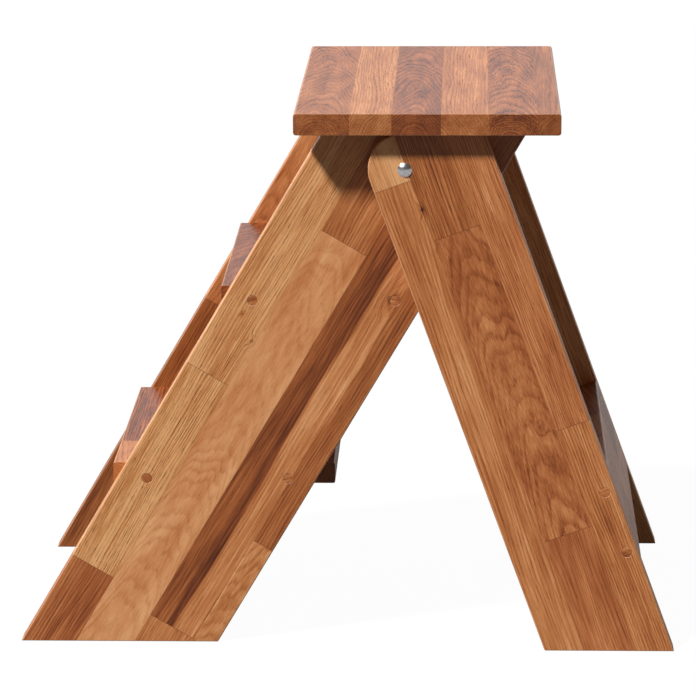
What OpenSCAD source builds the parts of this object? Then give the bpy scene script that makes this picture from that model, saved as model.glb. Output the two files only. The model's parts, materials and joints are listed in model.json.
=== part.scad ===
// Folding three-step stool in solid wood.
// Two wide stringers carry two treads and a top plate. Two narrower rear legs hang outside
// them on one bolt each, joined by a crosspiece, and swing in beside the stringers to fold.
// Front is -X, the user's left is +Y, and the origin is on the floor under the middle of the
// open stool.

/* [Overall] */
// Height from the floor to the top of the plate
overall_height = 620; // [500:1:760]
// Width over the outer faces of the rear legs
outer_width = 440; // [340:1:540]
// Thickness of every board
board_t = 24; // [20:0.5:30]
// Radius of the long edges of the treads and the crosspiece
edge_r = 2; // [1:0.5:4]

/* [Stringers] */
// Width of a stringer, square to its edges
stringer_w = 194.5; // [160:0.5:235]
// Lean of the stringers from the vertical, in degrees
stringer_lean = 30.6; // [26:0.1:34]

/* [Rear legs] */
// Width of a rear leg, square to its edges
leg_w = 138; // [110:1:166]
// Lean of the rear legs from the vertical, in degrees
leg_lean = 19.9; // [14:0.1:24]
// Radius of the leg's front top corner, centred on the pivot
leg_nose_r = 40.5; // [32:0.5:50]
// Gap between the leg's flat top and the underside of the plate when the stool is open
stop_gap = 0.5; // [0.3:0.1:1]
// Gap between a rear leg and its stringer, which a washer fills
side_gap = 1.5; // [1:0.1:3]

/* [Treads] */
// How far a tread's top reaches past the rear edges of the stringers
tread_rear_overhang = 12.5; // [0:0.5:30]
// How far the upper tread is set back from the line of the lower one
upper_tread_setback = 3.5; // [0:0.5:10]
// Distance from a stringer's edge to the nearer tread screw, along the tread
tread_screw_inset = 33; // [25:1:60]

/* [Top plate] */
// How far the plate reaches past the front of the stringer tops
plate_front_overhang = 33; // [5:1:45]
// How far the plate reaches past the rear of the stringer tops
plate_rear_overhang = 34; // [5:1:45]
// How far the plate reaches past the outer face of each rear leg
plate_side_overhang = 15; // [6:1:40]
// Radius of the plate's long edges
plate_edge_r = 3; // [1:0.5:6]

/* [Crosspiece] */
// Width of the crosspiece, along the legs
crosspiece_w = 114.5; // [70:0.5:150]
// Distance along the leg from its rear foot corner to the crosspiece
crosspiece_rise = 109; // [60:1:180]
// Distance from the crosspiece's long edges to its screws
crosspiece_screw_inset = 20; // [12:1:30]

/* [Pivot hardware] */
// Diameter of the pivot bolt's shank
bolt_d = 6; // [5:0.5:10]
// Diameter of the bolt's domed head
bolt_head_d = 16; // [14:0.5:24]
// Height of the bolt's domed head
bolt_head_h = 3.6; // [3:0.1:6]
// Length of the bolt's square neck
bolt_neck_l = 4.5; // [3:0.1:7]
// How much wider the square neck is than the shank
bolt_neck_extra = 0.3; // [0.1:0.1:1]
// Length of bolt left showing past the nut
bolt_tail = 2.9; // [1:0.1:6]
// Radial clearance of the bolt in the stringer that turns on it
pivot_clearance = 0.08; // [0.02:0.01:0.1]
// Diameter of the washer between leg and stringer
spacer_d = 18; // [14:1:30]
// Diameter of the washer under the nut
washer_d = 15; // [14:1:26]
// Thickness of the washer under the nut
washer_t = 1.6; // [1:0.1:3]
// Radial clearance of the bolt in both washers
washer_clearance = 0.2; // [0.1:0.1:0.5]
// Width of the nut across its flats
nut_af = 10; // [9:0.5:17]
// Height of the nut's hexagon
nut_h = 4.5; // [4:0.1:8]
// Height of the nut's round locking collar
nut_collar_h = 1.5; // [1:0.1:3]

/* [Screws, plugs and dowels] */
// Diameter of the wood screws
screw_d = 5; // [4:0.5:6]
// Length of a wood screw under its head
screw_l = 50; // [40:1:60]
// Diameter of a screw's head
screw_head_d = 9.5; // [8:0.5:11]
// Height of a screw's head
screw_head_h = 3.5; // [2.5:0.1:4]
// Width across the flats of the socket in a screw's head
screw_socket_af = 4; // [3:0.5:5]
// Depth of the socket in a screw's head
screw_socket_h = 2.2; // [1.5:0.1:2.4]
// Diametral clearance of a screw in the board that its head pulls on
screw_clearance = 0.5; // [0.2:0.1:1]
// Diameter of the wooden plugs over the screw heads
plug_d = 12; // [11:0.5:14]
// Length of a plug
plug_l = 7; // [5:0.5:9]
// Diameter of the dowels between plate and stringers
dowel_d = 10; // [6:1:12]
// How deep a dowel goes into the plate
dowel_in_plate = 12; // [8:1:14]
// How deep a dowel goes into the stringer
dowel_in_stringer = 24; // [15:1:28]
// Distance from a stringer's top corners to its outer dowels
dowel_inset = 40; // [30:1:60]

/* [Hidden] */
$fn = 96;
cut = 1;  // how far a cutting tool runs past the face that it opens
right = -1;
left = 1;
rises = 3;  // equal steps from the floor to the top of the plate
lower = 1;
upper = 2;

// Faces of the boards, as distances from the middle plane
leg_outer = outer_width / 2;
leg_inner = leg_outer - board_t;
stringer_outer = leg_inner - side_gap;
stringer_inner = stringer_outer - board_t;
plate_half_l = leg_outer + plate_side_overhang;

// Levels
plate_under = overall_height - board_t;
rise = overall_height / rises;
pivot_z = plate_under - stop_gap - leg_nose_r;

// Horizontal widths of the leaning boards, and the length of floor that the stool covers
stringer_run = stringer_w / cos(stringer_lean);
leg_run = leg_w / cos(leg_lean);
pivot_from_toe = stringer_run / 2 + pivot_z * tan(stringer_lean);
leg_from_pivot = pivot_z * tan(leg_lean) - leg_nose_r / cos(leg_lean);
footprint = pivot_from_toe + leg_from_pivot + leg_run;

// Main points of the side view, as [x, z]
toe_x = -footprint / 2;
pivot = [toe_x + pivot_from_toe, pivot_z];
leg_front_x = pivot.x + leg_from_pivot;

// The leg's own directions in the side view: down along the leg, and square to it to the rear
leg_down = [sin(leg_lean), -cos(leg_lean)];
leg_back = [cos(leg_lean), sin(leg_lean)];
leg_rear_edge = leg_w - leg_nose_r;
leg_heel_along = (pivot_z + leg_rear_edge * sin(leg_lean)) / cos(leg_lean);

// Tread sections
tread_lip = board_t * tan(stringer_lean);
tread_depth = stringer_run + tread_lip + tread_rear_overhang;

// Crosspiece, along the leg from the pivot
crosspiece_low = leg_heel_along - crosspiece_rise;
crosspiece_high = crosspiece_low - crosspiece_w;

// Plate
plate_front_x = front_edge_x(plate_under) - plate_front_overhang;
plate_depth = plate_front_overhang + stringer_run + plate_rear_overhang;

// Screws, plugs and bolts
counterbore_l = plug_l + screw_head_h;
screw_tip_l = screw_d;
bolt_neck_w = bolt_d + bolt_neck_extra;
bolt_end = stringer_inner - washer_t - nut_h - nut_collar_h - bolt_tail;
nut_collar_d = nut_af - 0.5;

WOOD_LIGHT = "#C8905E";
WOOD_MID = "#B5763F";
WOOD_DARK = "#9A5F34";
WOOD_PLUG = "#7A4A26";
BEECH = "#D8B384";
STEEL = "#C9CBCE";
NYLON = "#E6E6E2";

// ---- Places ----

// X of the stringers' front edge at height z
function front_edge_x(z) = toe_x + z * tan(stringer_lean);

// Point of the side view at a distance along and square to the rear leg, from the pivot
function on_leg(along, back) = pivot + along * leg_down + back * leg_back;

// Height of the top of tread n, counted from the floor
function tread_top(n) = n * rise;

// X of the front face of tread n: the lower tread's lower front edge is flush with the stringers
function tread_front(n) =
    front_edge_x(tread_top(n) - board_t) + (n == upper ? upper_tread_setback : 0);

// The two screws at each end of tread n, at the middle of its thickness
function tread_screws(n) =
    let (z = tread_top(n) - board_t / 2, x = front_edge_x(z))
    [[x + tread_screw_inset, z], [x + stringer_run - tread_screw_inset, z]];

// The two screws at each end of the crosspiece, at the middle of its thickness
function crosspiece_screws() = [
    for (along = [crosspiece_high + crosspiece_screw_inset, crosspiece_low - crosspiece_screw_inset])
        on_leg(along, leg_rear_edge - board_t / 2)
];

// X of the dowels in a stringer's top
function dowel_xs() =
    let (x = front_edge_x(plate_under))
    [x + dowel_inset, x + stringer_run / 2, x + stringer_run - dowel_inset];

// ---- Shapes that repeat ----

// A side-view outline given thickness along Y, between two distances from the middle plane
module board(side, inner, outer) {
    translate([0, side > 0 ? outer : -inner, 0])
        rotate([90, 0, 0])
            linear_extrude(outer - inner) children();
}

// A round bar along Y between two distances from the middle plane, at [x, z]
module bar(side, at, d, inner, outer) {
    translate([at.x, side > 0 ? outer : -inner, at.y])
        rotate([90, 0, 0])
            cylinder(d = d, h = outer - inner);
}

// The section of a board with rounded long edges, from its front lower corner
module rounded_section(depth, t, r) {
    translate([r, 0]) square([depth - 2 * r, t]);
    translate([0, r]) square([depth, t - 2 * r]);
    for (x = [r, depth - r], y = [r, t - r])
        translate([x, y]) circle(r);
}

// The hole for a screw, its head and its plug in the board that the head pulls on
module screw_hole(side, at, face) {
    bar(side, at, plug_d, face - counterbore_l, face + cut);
    bar(side, at, screw_d + screw_clearance, face - board_t - cut, face);
}

// The hole that a screw cuts for itself in the board that it holds
module screw_thread_hole(side, at, face) {
    bar(side, at, screw_d, face - counterbore_l - screw_l, face - board_t + cut);
}

// One wood screw with its head under the plug
module wood_screw(side, at, face) {
    head_top = face - plug_l;
    seat = head_top - screw_head_h;
    tip = seat - screw_l;
    color(STEEL)
        difference() {
            union() {
                bar(side, at, screw_head_d, seat, head_top);
                bar(side, at, screw_d, tip + screw_tip_l, seat);
                translate([at.x, side * (tip + screw_tip_l), at.y])
                    rotate([side * 90, 0, 0])
                        cylinder(d1 = screw_d, d2 = screw_d / 4, h = screw_tip_l);
            }
            translate([at.x, side * head_top, at.y])
                rotate([90, 0, 0])
                    cylinder(d = screw_socket_af / cos(30), h = 2 * screw_socket_h, center = true, $fn = 6);
        }
}

module plug(side, at, face) {
    color(WOOD_PLUG) bar(side, at, plug_d, face - plug_l, face);
}

module washer(side, d, inner, outer) {
    difference() {
        bar(side, pivot, d, inner, outer);
        bar(side, pivot, bolt_d + 2 * washer_clearance, inner - cut, outer + cut);
    }
}

// ---- Tread frame ----

module stringer(side) {
    color(WOOD_MID)
        difference() {
            board(side, stringer_inner, stringer_outer)
                polygon([
                    [front_edge_x(0), 0],
                    [front_edge_x(0) + stringer_run, 0],
                    [front_edge_x(plate_under) + stringer_run, plate_under],
                    [front_edge_x(plate_under), plate_under]
                ]);
            for (n = [lower, upper], at = tread_screws(n))
                screw_hole(side, at, stringer_outer);
            bar(side, pivot, bolt_d + 2 * pivot_clearance, stringer_inner - cut, stringer_outer + cut);
            for (x = dowel_xs())
                dowel_hole(side, x);
        }
}

// The blind hole for one dowel, in both the stringer and the plate
module dowel_hole(side, x) {
    translate([x, side * (stringer_inner + board_t / 2), plate_under - dowel_in_stringer])
        cylinder(d = dowel_d, h = dowel_in_stringer + dowel_in_plate);
}

module plate_dowels(side) {
    color(BEECH)
        for (x = dowel_xs())
            dowel_hole(side, x);
}

module tread(n) {
    color(WOOD_LIGHT)
        difference() {
            board(left, -stringer_inner, stringer_inner)
                translate([tread_front(n), tread_top(n) - board_t])
                    rounded_section(tread_depth, board_t, edge_r);
            for (side = [right, left], at = tread_screws(n))
                screw_thread_hole(side, at, stringer_outer);
        }
}

module tread_screw_pair(n, side) {
    for (at = tread_screws(n))
        wood_screw(side, at, stringer_outer);
}

module tread_plug_pair(n, side) {
    for (at = tread_screws(n))
        plug(side, at, stringer_outer);
}

module top_plate() {
    color(WOOD_LIGHT)
        difference() {
            board(left, -plate_half_l, plate_half_l)
                translate([plate_front_x, plate_under])
                    rounded_section(plate_depth, board_t, plate_edge_r);
            for (side = [right, left], x = dowel_xs())
                dowel_hole(side, x);
        }
}

// ---- Rear frame ----

module rear_leg(side) {
    top_z = pivot_z + leg_nose_r;
    rear_top_x = pivot.x + leg_rear_edge / cos(leg_lean) - leg_nose_r * tan(leg_lean);
    color(WOOD_LIGHT)
        difference() {
            board(side, leg_inner, leg_outer)
                union() {
                    polygon([
                        [leg_front_x, 0],
                        [leg_front_x + leg_run, 0],
                        [rear_top_x, top_z],
                        [pivot.x, top_z],
                        pivot,
                        on_leg(0, -leg_nose_r)
                    ]);
                    translate(pivot) circle(leg_nose_r);
                }
            for (at = crosspiece_screws())
                screw_hole(side, at, leg_outer);
            bar(side, pivot, bolt_d + 2 * washer_clearance, leg_inner - cut, leg_outer + cut);
            neck_block(side, bolt_neck_l + cut);
        }
}

// The square neck of the pivot bolt, or the hole that it pulls into
module neck_block(side, l) {
    inner = leg_outer - bolt_neck_l;
    translate([pivot.x - bolt_neck_w / 2, side > 0 ? inner : -inner - l, pivot.y - bolt_neck_w / 2])
        cube([bolt_neck_w, l, bolt_neck_w]);
}

module rear_crosspiece() {
    color(WOOD_DARK)
        difference() {
            board(left, -leg_inner, leg_inner)
                translate(on_leg(crosspiece_low, leg_rear_edge - board_t))
                    rotate(leg_lean)
                        mirror([1, 0])
                            rotate(90)
                                rounded_section(crosspiece_w, board_t, edge_r);
            for (side = [right, left], at = crosspiece_screws())
                screw_thread_hole(side, at, leg_outer);
        }
}

module crosspiece_screw_pair(side) {
    for (at = crosspiece_screws())
        wood_screw(side, at, leg_outer);
}

module crosspiece_plug_pair(side) {
    for (at = crosspiece_screws())
        plug(side, at, leg_outer);
}

// ---- Pivot hardware ----

module pivot_bolt(side) {
    dome_r = (pow(bolt_head_d / 2, 2) + pow(bolt_head_h, 2)) / (2 * bolt_head_h);
    color(STEEL) {
        bar(side, pivot, bolt_d, bolt_end, leg_outer);
        neck_block(side, bolt_neck_l);
        intersection() {
            bar(side, pivot, bolt_head_d, leg_outer, leg_outer + bolt_head_h);
            translate([pivot.x, side * (leg_outer + bolt_head_h - dome_r), pivot.y])
                sphere(dome_r);
        }
    }
}

module spacer_washer(side) {
    color(NYLON) washer(side, spacer_d, stringer_outer, leg_inner);
}

module nut_washer(side) {
    color(STEEL) washer(side, washer_d, stringer_inner - washer_t, stringer_inner);
}

module lock_nut(side) {
    seat = stringer_inner - washer_t;
    color(STEEL)
        difference() {
            union() {
                translate([pivot.x, side * (seat - nut_h / 2), pivot.y])
                    rotate([90, 0, 0])
                        cylinder(d = nut_af / cos(30), h = nut_h, center = true, $fn = 6);
                bar(side, pivot, nut_collar_d, seat - nut_h - nut_collar_h, seat - nut_h);
            }
            bar(side, pivot, bolt_d, seat - nut_h - nut_collar_h - cut, seat + cut);
        }
}

stringer(right);  // right_stringer
stringer(left);  // left_stringer
top_plate();
tread(upper);  // upper_tread
tread(lower);  // lower_tread
tread_screw_pair(upper, right);  // right_upper_tread_screws
tread_screw_pair(upper, left);  // left_upper_tread_screws
tread_screw_pair(lower, right);  // right_lower_tread_screws
tread_screw_pair(lower, left);  // left_lower_tread_screws
tread_plug_pair(upper, right);  // right_upper_tread_plugs
tread_plug_pair(upper, left);  // left_upper_tread_plugs
tread_plug_pair(lower, right);  // right_lower_tread_plugs
tread_plug_pair(lower, left);  // left_lower_tread_plugs
plate_dowels(right);  // right_plate_dowels
plate_dowels(left);  // left_plate_dowels
rear_leg(right);  // right_rear_leg
rear_leg(left);  // left_rear_leg
rear_crosspiece();
crosspiece_screw_pair(right);  // right_crosspiece_screws
crosspiece_screw_pair(left);  // left_crosspiece_screws
crosspiece_plug_pair(right);  // right_crosspiece_plugs
crosspiece_plug_pair(left);  // left_crosspiece_plugs
pivot_bolt(right);  // right_pivot_bolt
pivot_bolt(left);  // left_pivot_bolt
spacer_washer(right);  // right_spacer_washer
spacer_washer(left);  // left_spacer_washer
nut_washer(right);  // right_nut_washer
nut_washer(left);  // left_nut_washer
lock_nut(right);  // right_lock_nut
lock_nut(left);  // left_lock_nut
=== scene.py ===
"""Looks of a folding three-step stool in oiled oak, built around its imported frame.

Each board is sawn, drilled, eased and ripped into staves as it would be at the bench, and takes
an oak finish whose growth rings run through the whole stave, so faces, edges and end grain agree.
Sizes are in millimetres, and places are vectors in metres, as the frame gives them.
"""

from __future__ import annotations

import json
import logging
import math
import random
from dataclasses import dataclass, field
from enum import Enum
from functools import reduce
from typing import Any, Callable, Sequence

import bpy
from mathutils import Matrix, Vector

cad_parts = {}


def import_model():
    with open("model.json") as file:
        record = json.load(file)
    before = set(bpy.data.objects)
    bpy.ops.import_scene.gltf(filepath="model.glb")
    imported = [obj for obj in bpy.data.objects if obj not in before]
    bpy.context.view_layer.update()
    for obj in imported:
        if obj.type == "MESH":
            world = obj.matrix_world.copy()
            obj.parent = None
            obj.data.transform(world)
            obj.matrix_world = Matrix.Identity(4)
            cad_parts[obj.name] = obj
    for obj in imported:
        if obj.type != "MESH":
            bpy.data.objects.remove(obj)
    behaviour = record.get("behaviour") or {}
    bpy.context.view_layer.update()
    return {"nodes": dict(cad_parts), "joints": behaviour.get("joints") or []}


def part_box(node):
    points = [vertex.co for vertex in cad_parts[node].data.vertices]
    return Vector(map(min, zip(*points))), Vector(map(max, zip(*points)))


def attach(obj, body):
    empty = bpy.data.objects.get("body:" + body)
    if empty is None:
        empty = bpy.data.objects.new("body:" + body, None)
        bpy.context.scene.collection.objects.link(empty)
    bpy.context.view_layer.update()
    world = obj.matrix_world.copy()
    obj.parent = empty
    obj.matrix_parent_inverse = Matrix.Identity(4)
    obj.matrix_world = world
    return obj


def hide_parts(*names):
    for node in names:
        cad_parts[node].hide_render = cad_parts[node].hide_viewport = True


LOG = logging.getLogger("stool")
MM = 0.001
FAR = 10_000.0
ROUND_SIDES = 64
MERGE_GAP = 0.002
SMOOTH_BELOW = 35
STAVE_W = 47
UP = Vector((0, 0, 1))
TREAD_FRAME = "tread_frame"
REAR_FRAME = "rear_frame"

Piece = bpy.types.Object
Socket = bpy.types.NodeSocket
Triple = tuple[float, float, float]


class Side(Enum):
    """Which half of the stool a piece belongs to, with the sign of its Y."""

    RIGHT = -1
    LEFT = 1

    @property
    def word(self) -> str:
        """The side's name as the frame's nodes spell it."""
        return self.name.lower()

    @property
    def outward(self) -> Vector:
        """The direction away from the middle plane."""
        return Vector((0, self.value, 0))

    def outer_y(self, board: str) -> float:
        """The Y of the outer face of this side's board of that name."""
        low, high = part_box(f"{self.word}_{board}")
        return low.y if self is Side.RIGHT else high.y


class Cut(Enum):
    """How a stave was sawn: the distances of the pith aside and inwards, and its slope."""

    FLAT = (4.0, 30.0, 0.100)
    RIFT = (62.0, 58.0, 0.010)
    QUARTER = (118.0, 26.0, 0.004)


class How(Enum):
    """What one solid does to another."""

    JOIN = "UNION"
    CUT = "DIFFERENCE"
    KEEP = "INTERSECT"


# ---- Bench tools ----


def settle() -> None:
    """Leaves edit mode and drops the selection."""
    if bpy.context.object and bpy.context.object.mode != "OBJECT":
        bpy.ops.object.mode_set(mode="OBJECT")
    bpy.ops.object.select_all(action="DESELECT")


def pick(piece: Piece) -> None:
    """Makes a piece the only selected object, and the active one.

    Args:
        piece: The object.
    """
    settle()
    piece.select_set(True)
    bpy.context.view_layer.objects.active = piece


def edit(piece: Piece, kind: str = "FACE", action: str = "SELECT") -> None:
    """Opens a piece in edit mode.

    Args:
        piece: The mesh object to edit.
        kind: The select mode: VERT, EDGE or FACE.
        action: SELECT to start with all of it selected, or DESELECT.
    """
    pick(piece)
    bpy.ops.object.mode_set(mode="EDIT")
    bpy.ops.mesh.select_mode(type=kind)
    bpy.ops.mesh.select_all(action=action)


def select_faces(piece: Piece, test: Callable[[Vector], bool]) -> int:
    """Opens a piece in edit mode with only the faces whose middles pass a test selected.

    Args:
        piece: The mesh object to edit.
        test: Takes a face's middle and says whether the face is wanted.

    Returns:
        How many faces are selected.
    """
    edit(piece, "FACE", "DESELECT")
    bpy.ops.object.mode_set(mode="OBJECT")
    wanted = [test(face.center) for face in piece.data.polygons]
    piece.data.polygons.foreach_set("select", wanted)
    bpy.ops.object.mode_set(mode="EDIT")
    return sum(wanted)


def select_edges(piece: Piece, test: Callable[[Vector, Vector], bool]) -> int:
    """Opens a piece in edit mode with only the edges whose ends pass a test selected.

    Args:
        piece: The mesh object to edit.
        test: Takes the places of an edge's two ends and says whether it is wanted.

    Returns:
        How many edges are selected.
    """
    edit(piece, "EDGE", "DESELECT")
    bpy.ops.object.mode_set(mode="OBJECT")
    points = piece.data.vertices
    wanted = [test(*(points[end].co for end in line.vertices)) for line in piece.data.edges]
    piece.data.edges.foreach_set("select", wanted)
    bpy.ops.object.mode_set(mode="EDIT")
    return sum(wanted)


def ease(radius: float, segments: int = 3) -> None:
    """Rounds the selected edges of the piece in edit mode, and closes it.

    Args:
        radius: How far the rounding reaches from each edge.
        segments: How many strips make up the rounding.
    """
    bpy.ops.mesh.bevel(offset=radius * MM, segments=segments, affect="EDGES", clamp_overlap=True)
    settle()


def named(name: str) -> Piece:
    """Names the active object and puts its place into its mesh.

    Args:
        name: The name for the object and for its mesh.

    Returns:
        The object.
    """
    piece = bpy.context.object
    piece.name = piece.data.name = name
    bpy.ops.object.transform_apply(location=True, rotation=True, scale=True)
    return piece


def stand(piece: Piece, at: Vector, towards: Vector) -> Piece:
    """Moves a piece made on the origin to a place and turns its Z to a direction.

    Args:
        piece: The piece.
        at: The place.
        towards: The direction.

    Returns:
        The same piece.
    """
    pick(piece)
    piece.rotation_euler = towards.to_track_quat("Z", "X").to_euler()
    piece.location = at
    return named(piece.name)


def block(name: str, centre: Vector, size: Sequence[float], turn: Matrix) -> Piece:
    """A rectangular block, ready to be shaped.

    Args:
        name: The object's name.
        centre: The block's middle.
        size: Its lengths along its own three axes.
        turn: The rotation of those axes.

    Returns:
        The new object.
    """
    settle()
    bpy.ops.mesh.primitive_cube_add(size=1.0, location=centre, rotation=turn.to_euler())
    bpy.context.object.scale = [length * MM for length in size]
    return named(name)


def rod(name: str, start: Vector, end: Vector, radius: float, sides: int = ROUND_SIDES) -> Piece:
    """A round bar between two points.

    Args:
        name: The object's name.
        start: The middle of one end.
        end: The middle of the other end.
        radius: The bar's radius.
        sides: How many flats make up the round.

    Returns:
        The new object.
    """
    settle()
    depth = (end - start).length
    bpy.ops.mesh.primitive_cylinder_add(vertices=sides, radius=radius * MM, depth=depth)
    bpy.context.object.name = name
    return stand(bpy.context.object, (start + end) / 2, end - start)


def turned(name: str, profile: Sequence[tuple[float, float]], at: Vector, towards: Vector) -> Piece:
    """A solid turned on a lathe: a disc extruded and scaled from ring to ring.

    Args:
        name: The object's name.
        profile: Pairs of radius and distance along the axis, in order.
        at: Where distance nought lies.
        towards: The axis.

    Returns:
        The new object.
    """
    settle()
    radius, height = profile[0]
    bpy.ops.mesh.primitive_circle_add(
        vertices=ROUND_SIDES,
        radius=radius * MM,
        fill_type="NGON",
        location=(0, 0, height * MM),
        enter_editmode=True,
    )
    for next_radius, next_height in profile[1:]:
        step = (0, 0, (next_height - height) * MM)
        bpy.ops.mesh.extrude_region_move(TRANSFORM_OT_translate={"value": step})
        growth = next_radius / radius
        bpy.ops.transform.resize(value=(growth, growth, 1), center_override=(0, 0, next_height * MM))
        radius, height = next_radius, next_height
    bpy.ops.object.mode_set(mode="OBJECT")
    piece = stand(named(name), at, towards)
    edit(piece)
    bpy.ops.mesh.normals_make_consistent(inside=False)
    settle()
    return piece


def saw(piece: Piece, point: Vector, waste: Vector) -> None:
    """Cuts a piece along a plane, drops one side and closes the cut.

    Args:
        piece: The mesh object to cut.
        point: A point on the plane.
        waste: The plane's normal, towards the side that is dropped.
    """
    edit(piece)
    bpy.ops.mesh.bisect(plane_co=point, plane_no=waste, use_fill=True, clear_outer=True)
    settle()


def score(piece: Piece, point: Vector, normal: Vector, where: Callable[[Vector], bool]) -> None:
    """Adds a line of edges where a plane crosses some of a piece's faces.

    Args:
        piece: The mesh object to mark.
        point: A point on the plane.
        normal: The plane's normal.
        where: Takes a face's middle and says whether the line may cross it.
    """
    if select_faces(piece, where):
        bpy.ops.mesh.bisect(plane_co=point, plane_no=normal)
    settle()


def discard(piece: Piece) -> None:
    """Removes an object and its mesh.

    Args:
        piece: The object.
    """
    mesh = piece.data
    bpy.data.objects.remove(piece)
    bpy.data.meshes.remove(mesh)


def combine(piece: Piece, other: Piece, how: How) -> None:
    """Joins a piece with another, cuts it by it or keeps what they share. The other is used up.

    Args:
        piece: The mesh object that stays.
        other: The mesh object that is used up.
        how: What to do.
    """
    pick(piece)
    step = piece.modifiers.new(how.name, "BOOLEAN")
    step.operation = how.value
    step.solver = "EXACT"
    step.object = other
    bpy.ops.object.modifier_apply(modifier=step.name)
    discard(other)


def finish_mesh(piece: Piece) -> None:
    """Merges doubled points, turns faces outwards and shades rounds smooth and flats flat.

    Args:
        piece: The mesh object.
    """
    edit(piece, "VERT")
    bpy.ops.mesh.remove_doubles(threshold=MERGE_GAP * MM)
    bpy.ops.mesh.normals_make_consistent(inside=False)
    pick(piece)
    bpy.ops.object.shade_smooth_by_angle(angle=math.radians(SMOOTH_BELOW))
    step = piece.modifiers.new("flats", "WEIGHTED_NORMAL")
    step.mode = "FACE_AREA_WITH_ANGLE"
    step.keep_sharp = True
    bpy.ops.object.modifier_apply(modifier=step.name)
    settle()


def join(name: str, pieces: Sequence[Piece]) -> Piece:
    """Makes one object of several.

    Args:
        name: The joined object's name.
        pieces: The mesh objects.

    Returns:
        The joined object.
    """
    pick(pieces[0])
    for piece in pieces[1:]:
        piece.select_set(True)
    bpy.ops.object.join()
    return named(name)


def copy_of(piece: Piece, name: str) -> Piece:
    """Copies a piece, with its own mesh.

    Args:
        piece: The piece to copy.
        name: The copy's name.

    Returns:
        The copy.
    """
    pick(piece)
    bpy.ops.object.duplicate(linked=False)
    return named(name)


def mirrored(piece: Piece, name: str) -> Piece:
    """Copies a piece to the other side of the middle plane.

    Args:
        piece: The piece to copy.
        name: The copy's name.

    Returns:
        The copy.
    """
    copy = copy_of(piece, name)
    copy.scale = (1, -1, 1)
    named(name)
    edit(copy)
    bpy.ops.mesh.normals_make_consistent(inside=False)
    settle()
    return copy


def fit(piece: Piece, body: str, node: str) -> None:
    """Hangs a finished piece on its body, in place of the plain node that it stands for.

    Args:
        piece: The finished object.
        body: The body that it moves with.
        node: The node that it replaces.
    """
    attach(piece, body)
    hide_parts(node)
    LOG.info("%s: %d faces, on %s", piece.name, len(piece.data.polygons), body)


# ---- Material graphs ----


@dataclass(frozen=True)
class Tint:
    """A colour given as screen values from 0 to 255."""

    red: int
    green: int
    blue: int

    def linear(self) -> tuple[float, ...]:
        """The colour as shaders take it."""
        shares = (value / 255 for value in (self.red, self.green, self.blue))
        return (*(s / 12.92 if s <= 0.04045 else ((s + 0.055) / 1.055) ** 2.4 for s in shares), 1.0)


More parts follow.
